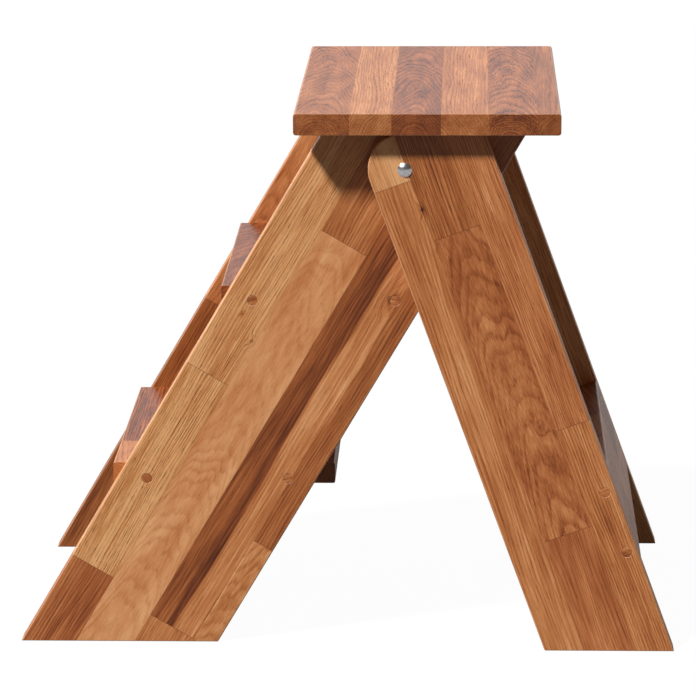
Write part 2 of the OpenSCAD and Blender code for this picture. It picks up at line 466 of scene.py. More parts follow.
class Graph:
    """Writes a material's nodes as short calls."""

    def __init__(self, name: str, owner: Any = None) -> None:
        """Starts an empty graph.

        Args:
            name: The name of the material that is made when there is no owner.
            owner: What already has a graph, such as the world.
        """
        self.material = owner or bpy.data.materials.new(name)
        self.material.use_nodes = True
        self.tree = self.material.node_tree
        self.tree.nodes.clear()

    def add(self, kind: str, inputs: dict[Any, Any] | None = None, **settings: Any) -> bpy.types.Node:
        """Adds a node.

        Args:
            kind: The node's type, without its ShaderNode prefix.
            inputs: Values or sockets for its inputs, by name or index.
            **settings: Its properties.

        Returns:
            The new node.
        """
        node = self.tree.nodes.new("ShaderNode" + kind)
        for key, value in settings.items():
            setattr(node, key, value)
        for key, value in (inputs or {}).items():
            if isinstance(value, Socket):
                self.tree.links.new(value, node.inputs[key])
            else:
                node.inputs[key].default_value = value
        return node

    def calc(self, how: str, *values: Any) -> Socket:
        """The result of a Math node on numbers or sockets."""
        return self.add("Math", dict(enumerate(values)), operation=how).outputs[0]

    def total(self, *values: Any) -> Any:
        """The sum of several numbers or sockets."""
        return reduce(lambda first, second: self.calc("ADD", first, second), values)

    def times(self, *values: Any) -> Any:
        """The product of several numbers or sockets."""
        return reduce(lambda first, second: self.calc("MULTIPLY", first, second), values)

    def vector(self, how: str, first: Any, second: Any) -> Socket:
        """The vector result of a Vector Math node."""
        return self.add("VectorMath", {0: first, 1: second}, operation=how).outputs["Vector"]

    def dot(self, first: Any, second: Any) -> Socket:
        """The dot product of two vectors."""
        return self.add("VectorMath", {0: first, 1: second}, operation="DOT_PRODUCT").outputs["Value"]

    def scaled(self, vector: Any, factor: Any) -> Socket:
        """A vector times a number."""
        return self.add("VectorMath", {0: vector, "Scale": factor}, operation="SCALE").outputs["Vector"]

    def split(self, vector: Socket) -> tuple[Socket, ...]:
        """The three numbers of a vector."""
        return tuple(self.add("SeparateXYZ", {0: vector}).outputs)

    def noise(self, place: Any, blotch: Triple, detail: float = 1.0) -> Socket:
        """Smooth noise from 0 to 1.

        Args:
            place: The place.
            blotch: The size of the noise's blotches along the three axes.
            detail: How many finer layers are added.

        Returns:
            The noise's socket.
        """
        spot = self.vector("MULTIPLY", place, tuple(1 / size for size in blotch))
        return self.add("TexNoise", {"Vector": spot, "Scale": 1.0, "Detail": detail}).outputs["Fac"]

    def sway(self, place: Any, blotch: Triple, reach: Any, detail: float = 1.0) -> Any:
        """Noise about nought.

        Args:
            place: The place.
            blotch: The size of the noise's blotches.
            reach: What the noise, mostly from -0.25 to 0.25, is multiplied by.
            detail: How many finer layers are added.

        Returns:
            The result's socket.
        """
        return self.times(self.calc("SUBTRACT", self.noise(place, blotch, detail), 0.5), reach)

    def rise(self, value: Any, low: float, high: float, first: float = 0.0, last: float = 1.0) -> Any:
        """A smooth step of a value from one level to another.

        Args:
            value: The number or socket to read.
            low: Where the step starts.
            high: Where it ends.
            first: The result below the step.
            last: The result above it.

        Returns:
            The result's socket.
        """
        inputs = {"Value": value, "From Min": low, "From Max": high, "To Min": first, "To Max": last}
        return self.add("MapRange", inputs, interpolation_type="SMOOTHSTEP").outputs["Result"]

    def blend(self, share: Any, first: Any, second: Tint) -> Socket:
        """A mix of a colour and a tint.

        Args:
            share: How much of the tint is taken.
            first: The colour's tint or socket.
            second: The tint.

        Returns:
            The mixed colour's socket.
        """
        base = first.linear() if isinstance(first, Tint) else first
        return self.add("Mix", {0: share, 6: base, 7: second.linear()}, data_type="RGBA").outputs[2]

    def ramp(self, value: Any, stops: Sequence[tuple[float, Tint]]) -> Socket:
        """A colour picked along a row of tints.

        Args:
            value: The place along the row, from 0 to 1.
            stops: Places and tints.

        Returns:
            The colour's socket.
        """
        node = self.add("ValToRGB", {0: value})
        row = node.color_ramp.elements
        row.remove(row[1])
        for index, (place, tint) in enumerate(stops):
            stop = row.new(place) if index else row[0]
            stop.position = place
            stop.color = tint.linear()
        return node.outputs[0]

    def read(self, name: str) -> Socket:
        """The vector that the mesh holds under that name."""
        return self.add("Attribute", attribute_name=name, attribute_type="GEOMETRY").outputs["Vector"]

    def spot(self) -> Socket:
        """The place on the piece, in millimetres."""
        return self.scaled(self.add("TexCoord").outputs["Object"], 1 / MM)

    def relief(self, height: Any, depth: float, strength: float) -> Socket:
        """A normal that follows a height.

        Args:
            height: The height's socket, from 0 to 1.
            depth: How deep that range is.
            strength: How much of it shows.

        Returns:
            The normal's socket.
        """
        inputs = {"Height": height, "Distance": depth * MM, "Strength": strength}
        return self.add("Bump", inputs).outputs[0]

    def surface(self, inputs: dict[str, Any]) -> bpy.types.Material:
        """Ends the graph in one Principled shader.

        Args:
            inputs: The shader's inputs, by name.

        Returns:
            The finished material.
        """
        shader = self.add("BsdfPrincipled", inputs)
        self.add("OutputMaterial", {"Surface": shader.outputs[0]})
        return self.material


# ---- Wood ----


@dataclass(frozen=True)
class Run:
    """A length of one stave: how far along the board it reaches, and its wood."""

    upto: float
    tone: float
    cut: Cut
    figure: float = 1.0
    hue: float = 0.0


@dataclass(frozen=True)
class Column:
    """A strip of the board's width, made up of staves end to end."""

    width: float
    runs: tuple[Run, ...]


@dataclass(frozen=True)
class Knot:
    """A knot: its place across and along its board, its radius and the push that it gives the grain."""

    across: float
    along: float
    radius: float
    push: float
    dark: float


@dataclass(frozen=True)
class Band:
    """A stripe of lighter or darker wood within a board."""

    low: float
    high: float
    shift: float
    soft: float
    start: float = 0.0
    end: float = FAR


@dataclass(frozen=True)
class Axes:
    """A board's own directions: across its width, outwards through its thickness, along its grain."""

    origin: Vector
    across: Vector
    through: Vector
    along: Vector

    def turn(self) -> Matrix:
        """The rotation whose X runs across and whose Z runs along the board."""
        return Matrix((self.across, self.along.cross(self.across), self.along)).transposed()

    def local(self, point: Vector) -> Vector:
        """A point's distances across, inwards from the outer face and along."""
        offset = (point - self.origin) / MM
        return Vector((offset.dot(self.across), -offset.dot(self.through), offset.dot(self.along)))

    def point(self, across: float, inwards: float, along: float) -> Vector:
        """The point at those distances."""
        return self.origin + (self.across * across - self.through * inwards + self.along * along) * MM


class Stave:
    """A stave's place in its board and in the log that it was sawn from."""

    def __init__(self, spans: Sequence[float], run: Run, middle: float, dice: random.Random) -> None:
        """Places the stave.

        Args:
            spans: Where it starts and ends across the board, then along it.
            run: Its wood.
            middle: The middle of its width.
            dice: Where its chances come from.
        """
        self.low, self.high, self.start, self.end = spans
        self.run = run
        aside, depth, slope = run.cut.value
        self.pith = middle + aside * dice.uniform(0.8, 1.2) * dice.choice((-1, 1))
        self.depth = depth * dice.uniform(0.85, 1.2)
        self.slope = slope * dice.uniform(0.8, 1.3)
        self.lean = dice.uniform(-0.02, 0.02)
        self.seed = dice.random()

    def holds(self, spot: Vector) -> bool:
        """Whether a spot of the board lies in this stave."""
        return self.low <= spot.x <= self.high and self.start <= spot.z <= self.end

    def covers(self, across: float) -> bool:
        """Whether a distance across the board lies within the stave's width."""
        return self.low < across < self.high

    def in_log(self, spot: Vector) -> Triple:
        """Where a spot of the board lies in the log, whose Z axis is the pith."""
        run = spot.z - max(self.start, 0.0)
        return spot.x - self.pith - run * self.lean, self.depth - spot.y + run * self.slope, spot.z


def random_columns(width: float, length: float, seed: int, tone: float) -> tuple[Column, ...]:
    """A layout of staves such as a glued panel has.

    Args:
        width: The board's width.
        length: Its length.
        seed: Fixes the layout.
        tone: The tone that the staves vary about.

    Returns:
        The columns, from the board's front edge.
    """
    dice = random.Random(seed)
    shares = [dice.uniform(0.8, 1.2) for _ in range(max(2, round(width / STAVE_W)))]
    columns = []
    for share in shares:
        ends = (dice.uniform(0.15, 0.9) * length, FAR)
        runs = tuple(
            Run(end, tone + dice.uniform(-0.2, 0.2), cut, dice.uniform(0.7, 1.25), dice.uniform(-1, 1))
            for end, cut in zip(ends, dice.sample(list(Cut), 2))
        )
        columns.append(Column(width * share / sum(shares), runs))
    return tuple(columns)


@dataclass(frozen=True)
class OakFinish:
    """Oiled oak, from logs whose growth rings run through each stave."""

    ring: float = 2.9
    roughness: float = 0.40
    shine: float = 0.42
    relief_depth: float = 0.12
    relief_strength: float = 0.65
    pore_share: float = 0.62
    heart_share: float = 0.90
    seam_share: float = 0.50
    end_share: float = 0.12
    # The share below lightens the eased arrises: partly edge wear, partly a painted highlight.
    wear_and_highlight_share: float = 0.30
    tones: tuple[tuple[float, Tint], ...] = (
        (0.00, Tint(60, 23, 5)),
        (0.20, Tint(112, 54, 21)),
        (0.45, Tint(163, 93, 47)),
        (0.70, Tint(197, 128, 76)),
        (1.00, Tint(230, 172, 120)),
    )
    pore: Tint = Tint(78, 38, 18)
    heart: Tint = Tint(52, 22, 10)
    # Pale tan for the eased arrises: partly edge wear, partly a painted highlight.
    wear_and_highlight: Tint = Tint(226, 178, 140)

    def material(
        self, name: str, axes: Axes, knots: Sequence[Knot], bands: Sequence[Band]
    ) -> bpy.types.Material:
        """Builds the material of one board.

        Args:
            name: The material's name.
            axes: The board's directions.
            knots: The board's knots.
            bands: Its lighter and darker stripes.

        Returns:
            A material that reads what Board.mark writes into the mesh.
        """
        g = Graph(name)
        log = g.scaled(g.read("log"), 1 / MM)
        tone, hue, figure = g.split(g.read("look"))
        low_edge, high_edge, low_end = g.split(g.read("seam"))
        high_end, seed, arris = g.split(g.read("trim"))
        end_grain = g.split(g.read("ends"))[0]
        place = g.vector("ADD", log, g.scaled((310.0, 170.0, 930.0), seed))
        spot = g.vector("SUBTRACT", g.spot(), tuple(axes.origin / MM))
        across = g.dot(spot, tuple(axes.across))
        along = g.dot(spot, tuple(axes.along))
        push, hearts, halo = self.knot_marks(g, place, across, along, knots)
        early, year = self.rings(g, log, place, seed, push)

        fibre = g.sway(place, (1.5, 1.5, 42), 0.62, 2.0)
        blotch = g.sway(place, (15, 15, 130), 0.60, 2.0)
        dip = g.times(early, g.rise(year, 0, 1, -0.06, -0.21))
        shade = g.times(g.total(dip, g.times(year, 0.10)), figure)
        level = g.total(tone, shade, g.times(fibre, figure), blotch, 0.03, g.times(halo, -0.22))
        for band in bands:
            level = g.total(level, self.stripe(g, place, across, along, band))
        turn = {"Hue": g.total(g.times(hue, 0.005), 0.5), "Color": g.ramp(level, self.tones)}
        colour = g.add("HueSaturation", turn).outputs[0]

        dashes = g.rise(g.noise(place, (0.85, 0.85, 13), 1.0), 0.56, 0.70)
        specks = g.rise(g.noise(place, (0.36, 0.36, 4.5), 0.0), 0.60, 0.76)
        open_band = g.total(g.times(early, 0.60), 0.15)
        pores = g.times(g.total(g.times(dashes, open_band), g.times(specks, 0.30)), g.total(figure, 0.1))
        glue = g.rise(g.times(g.calc("MINIMUM", low_edge, high_edge), 1 / MM), 0.05, 0.5, 0.35, 0.0)
        butt = g.rise(g.times(g.calc("MINIMUM", low_end, high_end), 1 / MM), 0.05, 0.7, 1.0, 0.0)
        seam = g.calc("MAXIMUM", glue, butt)
        # The arris mark lightens the eased edges, partly as wear and partly as a painted highlight.
        for mark, share, tint in (
            (pores, self.pore_share, self.pore),
            (hearts, self.heart_share, self.heart),
            (seam, self.seam_share, self.heart),
            (end_grain, self.end_share, self.pore),
            (arris, self.wear_and_highlight_share, self.wear_and_highlight),
        ):
            colour = g.blend(g.times(mark, share), colour, tint)

        hollows = g.total(g.times(pores, 0.8), g.times(early, 0.14), g.times(seam, 0.5))
        height = g.calc("SUBTRACT", 1.0, hollows)
        rough = g.total(self.roughness, g.times(pores, 0.22), g.times(fibre, 0.12), g.times(end_grain, 0.15))
        normal = g.relief(height, self.relief_depth, self.relief_strength)
        look = {"Base Color": colour, "Roughness": rough, "Specular IOR Level": self.shine}
        return g.surface({**look, "Normal": normal})

    def rings(self, g: Graph, log: Any, place: Any, seed: Any, push: Any) -> tuple[Any, Any]:
        """Where a place lies among the growth rings.

        Args:
            g: The graph to write in.
            log: The place from the pith.
            place: The place in the stave's own noise.
            seed: The stave's seed.
            push: How far knots push the rings.

        Returns:
            How far into the porous early wood it is, and a number from 0 to 1 for its year.
        """
        x, y, _ = g.split(log)
        radius = g.calc("SQRT", g.total(g.times(x, x), g.times(y, y)))
        wander = g.sway(place, (38, 38, 230), 15.0)
        ripple = g.sway(place, (7, 7, 46), 2.2)
        reach = g.total(radius, wander, ripple, push)
        lane = g.add("CombineXYZ", {0: reach, 1: g.times(seed, 900.0)}).outputs[0]
        count = g.total(g.calc("DIVIDE", reach, self.ring), g.sway(lane, (21, 21, 21), 5.0))
        phase = g.calc("FRACT", count)
        whole = g.total(g.calc("FLOOR", count), g.times(seed, 57.0))
        year = g.add("TexWhiteNoise", {"W": whole}, noise_dimensions="1D").outputs["Value"]
        early = g.calc("MAXIMUM", g.rise(phase, 0.04, 0.50, 1.0, 0.0), g.rise(phase, 0.84, 1.0))
        return early, year

    def knot_marks(
        self, g: Graph, place: Any, across: Any, along: Any, knots: Sequence[Knot]
    ) -> tuple[Any, Any, Any]:
        """What a board's knots do to its grain.

        Args:
            g: The graph to write in.
            place: The place in the stave's own noise.
            across: The distance across the board.
            along: The distance along it.
            knots: The knots.

        Returns:
            How far they push the rings, how dark their hearts are and how far their halo darkens.
        """
        push, hearts, halo = 0.0, 0.0, 0.0
        for knot in knots:
            side = g.calc("SUBTRACT", across, knot.across)
            far = g.times(g.calc("SUBTRACT", along, knot.along), 0.62)
            gap = g.calc("SQRT", g.total(g.times(side, side), g.times(far, far)))
            ragged = g.total(gap, g.sway(place, (3, 3, 6), knot.radius * 2.2, 2.0))
            near = g.rise(gap, 0.0, knot.radius * 4.5, 1.0, 0.0)
            push = g.total(g.times(near, knot.push), push)
            halo = g.total(g.times(near, knot.dark), halo)
            hearts = g.total(g.rise(ragged, knot.radius * 0.5, knot.radius, knot.dark, 0.0), hearts)
        return push, hearts, halo

    def stripe(self, g: Graph, place: Any, across: Any, along: Any, band: Band) -> Any:
        """How much a band lifts or lowers the tone at a place.

        Args:
            g: The graph to write in.
            place: The place in the stave's own noise.
            across: The distance across the board.
            along: The distance along it.
            band: The band.

        Returns:
            The shift's socket.
        """
        half = band.soft / 2
        swayed = g.total(across, g.sway(place, (20, 20, 160), band.soft * 2.4, 2.0))
        inner = g.rise(swayed, band.low - half, band.low + half)
        outer = g.rise(swayed, band.high - half, band.high + half, 1.0, 0.0)
        above = g.calc("GREATER_THAN", along, band.start)
        below = g.calc("LESS_THAN", along, band.end)
        return g.times(inner, outer, above, below, band.shift)


@dataclass
class Board:
    """A glued board: its directions, its staves and the marks in its wood."""

    name: str
    axes: Axes
    columns: tuple[Column, ...]
    seed: int
    knots: tuple[Knot, ...] = ()
    bands: tuple[Band, ...] = ()
    oak: OakFinish = field(default_factory=OakFinish)

    def staves(self) -> list[Stave]:
        """Lays out the staves, each from its own log.

        Returns:
            Every stave of the board. The outer ones are open at the board's edges.
        """
        dice = random.Random(self.seed)
        found = []
        low = 0.0
        for column in self.columns:
            high = low + column.width
            left = low if low > 0 else -FAR
            right = high if column is not self.columns[-1] else FAR
            start = -FAR
            for run in column.runs:
                found.append(Stave((left, right, start, run.upto), run, (low + high) / 2, dice))
                start = run.upto
            low = high
        return found

    def rip(self, piece: Piece) -> None:
        """Marks the glue lines and the end joints as edges in the piece's mesh.

        Args:
            piece: The shaped board.
        """
        local = self.axes.local
        staves = self.staves()
        for high in sorted({stave.high for stave in staves if stave.high < FAR}):
            score(piece, self.axes.point(high, 0, 0), self.axes.across, lambda middle: True)
        for stave in staves:
            if stave.end < FAR:
                joint = self.axes.point(0, 0, stave.end)
                score(piece, joint, self.axes.along, lambda middle, own=stave: own.covers(local(middle).x))

    def mark(self, piece: Piece) -> None:
        """Writes into the mesh where each corner lies in its stave's log, and how that stave looks.

        Args:
            piece: The ripped board.
        """
        mesh = piece.data
        rows: dict[str, list[float]] = {key: [] for key in ("log", "look", "seam", "trim", "ends")}
        staves = self.staves()
        for face in mesh.polygons:
            middle = self.axes.local(face.center)
            stave = next(s for s in staves if s.holds(middle))
            slant = abs(face.normal.dot(self.axes.through))
            # Flags the eased edge faces, which the finish lightens partly as wear and partly as a painted
            # highlight.
            arris = 1.0 if 0.05 < slant < 0.98 else 0.0
            end_grain = face.normal.dot(self.axes.along) ** 2
            for corner in face.loop_indices:
                spot = self.axes.local(mesh.vertices[mesh.loops[corner].vertex_index].co)
                edges = (spot.x - stave.low, stave.high - spot.x, spot.z - stave.start)
                rows["log"] += [value * MM for value in stave.in_log(spot)]
                rows["look"] += [stave.run.tone, stave.run.hue, stave.run.figure]
                rows["seam"] += [value * MM for value in edges]
                rows["trim"] += [(stave.end - spot.z) * MM, stave.seed, arris]
                rows["ends"] += [end_grain, 0.0, 0.0]
        for key, values in rows.items():
            mesh.attributes.new(key, "FLOAT_VECTOR", "CORNER").data.foreach_set("vector", values)

    def dress(self, piece: Piece) -> None:
        """Rips the piece into staves and gives it its finish.

        Args:
            piece: The shaped board.
        """
        self.rip(piece)
        finish_mesh(piece)
        self.mark(piece)
        self.oil(piece)

    def oil(self, piece: Piece) -> None:
        """Gives the piece the board's own oak."""
        piece.data.materials.clear()
        piece.data.materials.append(self.oak.material(self.name + "_oak", self.axes, self.knots, self.bands))


# ---- Drilling and plugs ----


@dataclass(frozen=True)
class Bit:
    """A drill bit's path and its radius."""

    start: Vector
    end: Vector
    radius: float

    def other_side(self) -> Bit:
        """The same hole on the other side of the middle plane."""
        flip = Vector((1, -1, 1))
        return Bit(self.start * flip, self.end * flip, self.radius)


def drill(piece: Piece, bits: Sequence[Bit]) -> None:
    """Drills every hole of a list into a piece."""
    for bit in bits:
        combine(piece, rod("bit", bit.start, bit.end, bit.radius), How.CUT)


def break_rim(piece: Piece, at: Vector, axis: Vector, radius: float, by: float) -> None:
    """Chamfers the rim of a drilled hole.

    Args:
        piece: The mesh object.
        at: The hole's middle on the face that it opens.
        axis: The hole's direction.
        radius: The hole's radius.
        by: How far the rim is cut back.
    """

    def on_rim(point: Vector) -> bool:
        """Tells the rim's points from the others.

        Args:
            point: The point.

        Returns:
            Whether it lies on the hole's rim.
        """
        offset = (point - at) / MM
        height = offset.dot(axis)
        return abs(height) < 0.02 and abs((offset - axis * height).length - radius) < 0.05

    if select_edges(piece, lambda first, second: on_rim(first) and on_rim(second)):
        bpy.ops.mesh.bevel(offset=by * MM, segments=1, affect="EDGES")
    settle()


@dataclass
class Fasteners:
    """Sizes of the screws, plugs and dowels, and the plugs themselves, all turned from one pattern."""

    plug_r: float = 6.0
    plug_l: float = 7.0
    head_h: float = 3.5
    screw_r: float = 2.5
    screw_l: float = 50.0
    slack: float = 0.25
    dowel_r: float = 5.0
    rim: float = 0.3
    recess: float = 0.12
    tone: float = 0.47
    tone_spread: float = 0.05
    pattern: Piece | None = None

    def plug_middles(self, node: str, face_y: float) -> list[Vector]:
        """The middles of a node's two plugs, which fill its box's upper front and lower rear corners.

        Args:
            node: The plugs' node.
            face_y: The Y at which the middles are wanted.

        Returns:
            The two middles.
        """
        low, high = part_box(node)
        inset = self.plug_r * MM
        front = Vector((low.x + inset, face_y, high.z - inset))
        rear = Vector((high.x - inset, face_y, low.z + inset))
        return [front, rear]

    def screw_bits(self, at: Vector, outward: Vector, thickness: float) -> list[Bit]:
        """The holes for one screw and its plug in the board that the head pulls on.

        Args:
            at: The hole's middle on the board's outer face.
            outward: The direction from the board to the outside.
            thickness: The board's thickness.

        Returns:
            The counterbore and the shank hole.
        """
        start = at + outward * MM
        seat = at - outward * (self.plug_l + self.head_h) * MM
        far = at - outward * (thickness + 1) * MM
        return [Bit(start, seat, self.plug_r), Bit(start, far, self.screw_r + self.slack)]

    def thread_bit(self, at: Vector, outward: Vector) -> Bit:
        """The hole that a screw cuts in the board that it holds."""
        reach = self.plug_l + self.head_h + self.screw_l
        return Bit(at, at - outward * reach * MM, self.screw_r)

    def plug_pattern(self) -> Piece:
        """Turns the plug that all are copied from: a disc with a chamfered rim and a crowned face.

        Returns:
            The pattern, which is made only once.
        """
        if self.pattern is None:
            radius, face = self.plug_r - 0.04, -self.recess
            profile = [(radius - 0.3, -self.plug_l), (radius, 0.3 - self.plug_l), (radius, face - 0.35)]
            profile += [(radius - 0.35, face), (radius - 2.0, face + 0.05), (1.0, face + 0.07)]
            self.pattern = turned("plug_pattern", profile, Vector(), UP)
        return self.pattern

    def plug(self, node: str, side: Side, face_y: float, body: str, seed: int) -> None:
        """Sets both plugs of a node.

        Args:
            node: The node that the plugs replace.
            side: The side that they are on.
            face_y: The Y of the board's outer face.
            body: The body that they move with.
            seed: Fixes their grain.
        """
        dice = random.Random(seed)
        plugs = []
        for index, middle in enumerate(self.plug_middles(node, face_y)):
            plug = stand(copy_of(self.plug_pattern(), f"{node}_{index}"), middle, side.outward)
            angle = dice.uniform(0, math.pi)
            along = Vector((math.cos(angle), 0, math.sin(angle)))
            axes = Axes(middle, along.cross(side.outward), side.outward, along)
            tone = self.tone + dice.uniform(-self.tone_spread, self.tone_spread)
            run = Run(FAR, tone, Cut.FLAT, 1.2)
            board = Board(node, axes, (Column(2 * self.plug_r, (run,)),), seed + index)
            finish_mesh(plug)
            board.mark(plug)
            plugs.append(plug)
        pair = join(node + "_oak", plugs)
        board.oil(pair)
        fit(pair, body, node)

    def clear(self) -> None:
        """Takes the plug pattern off the bench."""
        discard(self.pattern)
        self.pattern = None


# ---- Sub-assemblies ----


@dataclass
class LeaningBoards:
    """What the stringers and the rear legs share: a pair of leaning boards and their sizes."""

    fasteners: Fasteners
    pivot: Vector
    lean: float
    width: float
    pivot_r: float
    thickness: float = 24.0
    arris: float = 1.3
    long_edge: float = 2.0
    end_edge: float = 0.8

    @property
    def along(self) -> Vector:
        """Up the boards."""
        lean = math.radians(self.lean)
        return Vector((math.sin(lean), 0, math.cos(lean)))

    @property
    def across(self) -> Vector:
        """From the boards' front edges to their rear edges."""
        return Vector((self.along.z, 0, -self.along.x))

    def ease_arrises(self, piece: Piece) -> None:
        """Eases every sharp edge of a sawn board.

        Args:
            piece: The sawn board.
        """
        edit(piece, "EDGE", "DESELECT")
        bpy.ops.mesh.edges_select_sharp(sharpness=math.radians(30))
        ease(self.arris)

    def hang_pair(self, right: Piece, near: Board, far: Board, body: str, slot: str) -> None:
        """Mirrors a right-hand board, then dresses both boards and hangs them on their body.

        Args:
            right: The drilled right-hand board.
            near: Its staves and marks, under the name of its node.
            far: The same for the left-hand board.
            body: The body that both move with.
            slot: Not used.
        """
        left = mirrored(right, far.name + "_oak")
        for piece, board in ((right, near), (left, far)):
            board.dress(piece)
            fit(piece, body, board.name)

    def ease_cross_board(self, piece: Piece, long_edge: float, end_edge: float) -> None:
        """Rounds the long edges and the ends of a board that runs along Y.

        Args:
            piece: The sawn board.
            long_edge: The radius of the long edges.
            end_edge: The radius around its two ends.
        """
        half = max(point.co.y for point in piece.data.vertices) - 0.01 * MM
        select_edges(piece, lambda first, second: abs(first.y - second.y) > half)
        ease(long_edge, 4)
        select_edges(piece, lambda first, second: min(abs(first.y), abs(second.y)) > half)
        ease(end_edge)

    def drill_board(self, piece: Piece, face_y: float, plug_nodes: Sequence[str]) -> None:
        """Drills a right-hand board for its screws and the pivot bolt.

        Args:
            piece: The shaped board.
            face_y: The Y of its outer face.
            plug_nodes: The nodes of the plugs over its screws.
        """
        outward = Side.RIGHT.outward
        screws = [at for node in plug_nodes for at in self.fasteners.plug_middles(node, face_y)]
        bits = [bit for at in screws for bit in self.fasteners.screw_bits(at, outward, self.thickness)]
        outer = Vector((self.pivot.x, face_y - MM, self.pivot.z))
        bits.append(Bit(outer, outer - outward * (self.thickness + 2) * MM, self.pivot_r))
        drill(piece, bits)
        for at in screws:
            break_rim(piece, at, outward, self.fasteners.plug_r, self.fasteners.rim)

    def drill_ends(self, piece: Piece, board: str, plugs: str) -> None:
        """Drills both ends of a cross board for the screws that hold it.

        Args:
            piece: The cross board.
            board: The name of the leaning boards, without their side.
            plugs: The name of the plugs over its screws, without their side.
        """
        for side in Side:
            middles = self.fasteners.plug_middles(f"{side.word}_{plugs}", side.outer_y(board))
            drill(piece, [self.fasteners.thread_bit(at, side.outward) for at in middles])


@dataclass
class TreadFrame(LeaningBoards):
    """The stringers, the treads and the top plate, which stand as one body."""

    lean: float = 30.6
    width: float = 194.5
    pivot_r: float = 3.08
    plate_edge: float = 3.0

    def build(self) -> None:
        """Builds every piece of the body."""
        columns = random_columns(self.width, 700, 11, 0.46)
        far = Board("left_stringer", self.axes(Side.LEFT), columns, 21)
        self.hang_pair(self.stringer(), self.near_board(), far, TREAD_FRAME, "stringer_wood")
        self.tread("lower_tread", self.lower_columns(), 41)
        self.tread("upper_tread", self.upper_columns(), 43)
        self.top_plate()
        for side in Side:
            for level, seed in (("upper", 60), ("lower", 70)):
                node = f"{side.word}_{level}_tread_plugs"
                self.fasteners.plug(node, side, side.outer_y("stringer"), TREAD_FRAME, seed + side.value)

    def axes(self, side: Side) -> Axes:
        """Finds a stringer's directions.

        Args:
            side: The stringer's side.

        Returns:
            The directions, from its front corner on the floor and its outer face.
        """
        low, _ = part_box(side.word + "_stringer")
        origin = Vector((low.x, side.outer_y("stringer"), low.z))
        return Axes(origin, self.across, side.outward, self.along)

    def stringer(self) -> Piece:
        """Saws, eases and drills the right stringer.

        Returns:
            The stringer, not yet ripped into staves.
        """
        low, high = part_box("right_stringer")
        length = (high.z - low.z) / MM / self.along.z + self.width
        size = (self.width, self.thickness, length)
        piece = block("right_stringer_oak", (low + high) / 2, size, self.axes(Side.RIGHT).turn())
        saw(piece, low, -UP)
        saw(piece, high, UP)
        self.ease_arrises(piece)
        self.drill_board(piece, low.y, ("right_upper_tread_plugs", "right_lower_tread_plugs"))
        drill(piece, self.dowel_bits())
        return piece

    def dowel_bits(self) -> list[Bit]:
        """Places the blind holes for the right side's dowels.

        Returns:
            The holes, which run through both the stringer and the plate.
        """
        low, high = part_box("right_plate_dowels")
        inset = self.fasteners.dowel_r * MM
        first, last, y = low.x + inset, high.x - inset, (low.y + high.y) / 2
        xs = (first, (first + last) / 2, last)
        return [Bit(Vector((x, y, low.z)), Vector((x, y, high.z)), self.fasteners.dowel_r) for x in xs]

    def near_board(self) -> Board:
        """Lays out the right stringer's wood.

        Returns:
            Its staves, with its knots and its pale and dark stripes.
        """
        joint = 104
        columns = (
            Column(
                54,
                (
                    Run(120.5, 0.47, Cut.RIFT, 1.0, -0.6),
                    Run(384, 0.80, Cut.QUARTER, 1.45, 0.8),
                    Run(FAR, 0.76, Cut.QUARTER, 1.25, 0.5),
                ),
            ),
            Column(58, (Run(592, 0.77, Cut.FLAT, 0.45, -0.3), Run(FAR, 0.50, Cut.RIFT, 1.0))),
            Column(57, (Run(joint, 0.58, Cut.RIFT, 0.9), Run(FAR, 0.32, Cut.RIFT, 0.9, -0.2))),
            Column(25.5, (Run(241, 0.62, Cut.FLAT, 0.8), Run(FAR, 0.42, Cut.RIFT, 1.0))),
        )
        knots = (
            Knot(50.5, 442, 2.0, 5.0, 0.5),
            Knot(26.5, 464, 1.1, 2.0, 1.0),
            Knot(160, 563, 4.0, 8.0, 0.5),
        )
        bands = (Band(134, 143, -0.14, 5.0, joint), Band(143, 169, 0.36, 5.0, joint))
        return Board("right_stringer", self.axes(Side.RIGHT), columns, 20, knots, bands)

    def level_board(self, node: str, long_edge: float, end_edge: float) -> Piece:
        """A level board that fills a node's box, with its edges rounded.

        Args:
            node: The node.
            long_edge: The radius of the long edges.
            end_edge: The radius around the two ends.

        Returns:
            The shaped board.
        """
        low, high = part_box(node)
        piece = block(node + "_oak", (low + high) / 2, (high - low) / MM, Matrix.Identity(3))
        self.ease_cross_board(piece, long_edge, end_edge)
        return piece

    def level_axes(self, node: str) -> Axes:
        """A level board's directions, from its upper front corner on the right."""
        low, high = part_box(node)
        return Axes(Vector((low.x, low.y, high.z)), Vector((1, 0, 0)), UP, Vector((0, 1, 0)))

    def lower_columns(self) -> tuple[Column, ...]:
        """The lower tread's staves."""
        front = Column(44, (Run(92, 0.53, Cut.RIFT, 0.8), Run(FAR, 0.27, Cut.QUARTER, 1.1, -0.5)))
        return (front, *random_columns(208.6, 341, 31, 0.38))

    def upper_columns(self) -> tuple[Column, ...]:
        """The upper tread's staves."""
        front = Column(50, (Run(FAR, 0.21, Cut.FLAT, 0.7, -0.6),))
        return (front, *random_columns(202.6, 341, 33, 0.38))

    def tread(self, node: str, columns: tuple[Column, ...], seed: int) -> None:
        """Builds one tread.

        Args:
            node: The tread's node.
            columns: Its staves.
            seed: Fixes its grain.
        """
        piece = self.level_board(node, self.long_edge, self.end_edge)
        self.drill_ends(piece, "stringer", node + "_plugs")
        Board(node, self.level_axes(node), columns, seed).dress(piece)
        fit(piece, TREAD_FRAME, node)

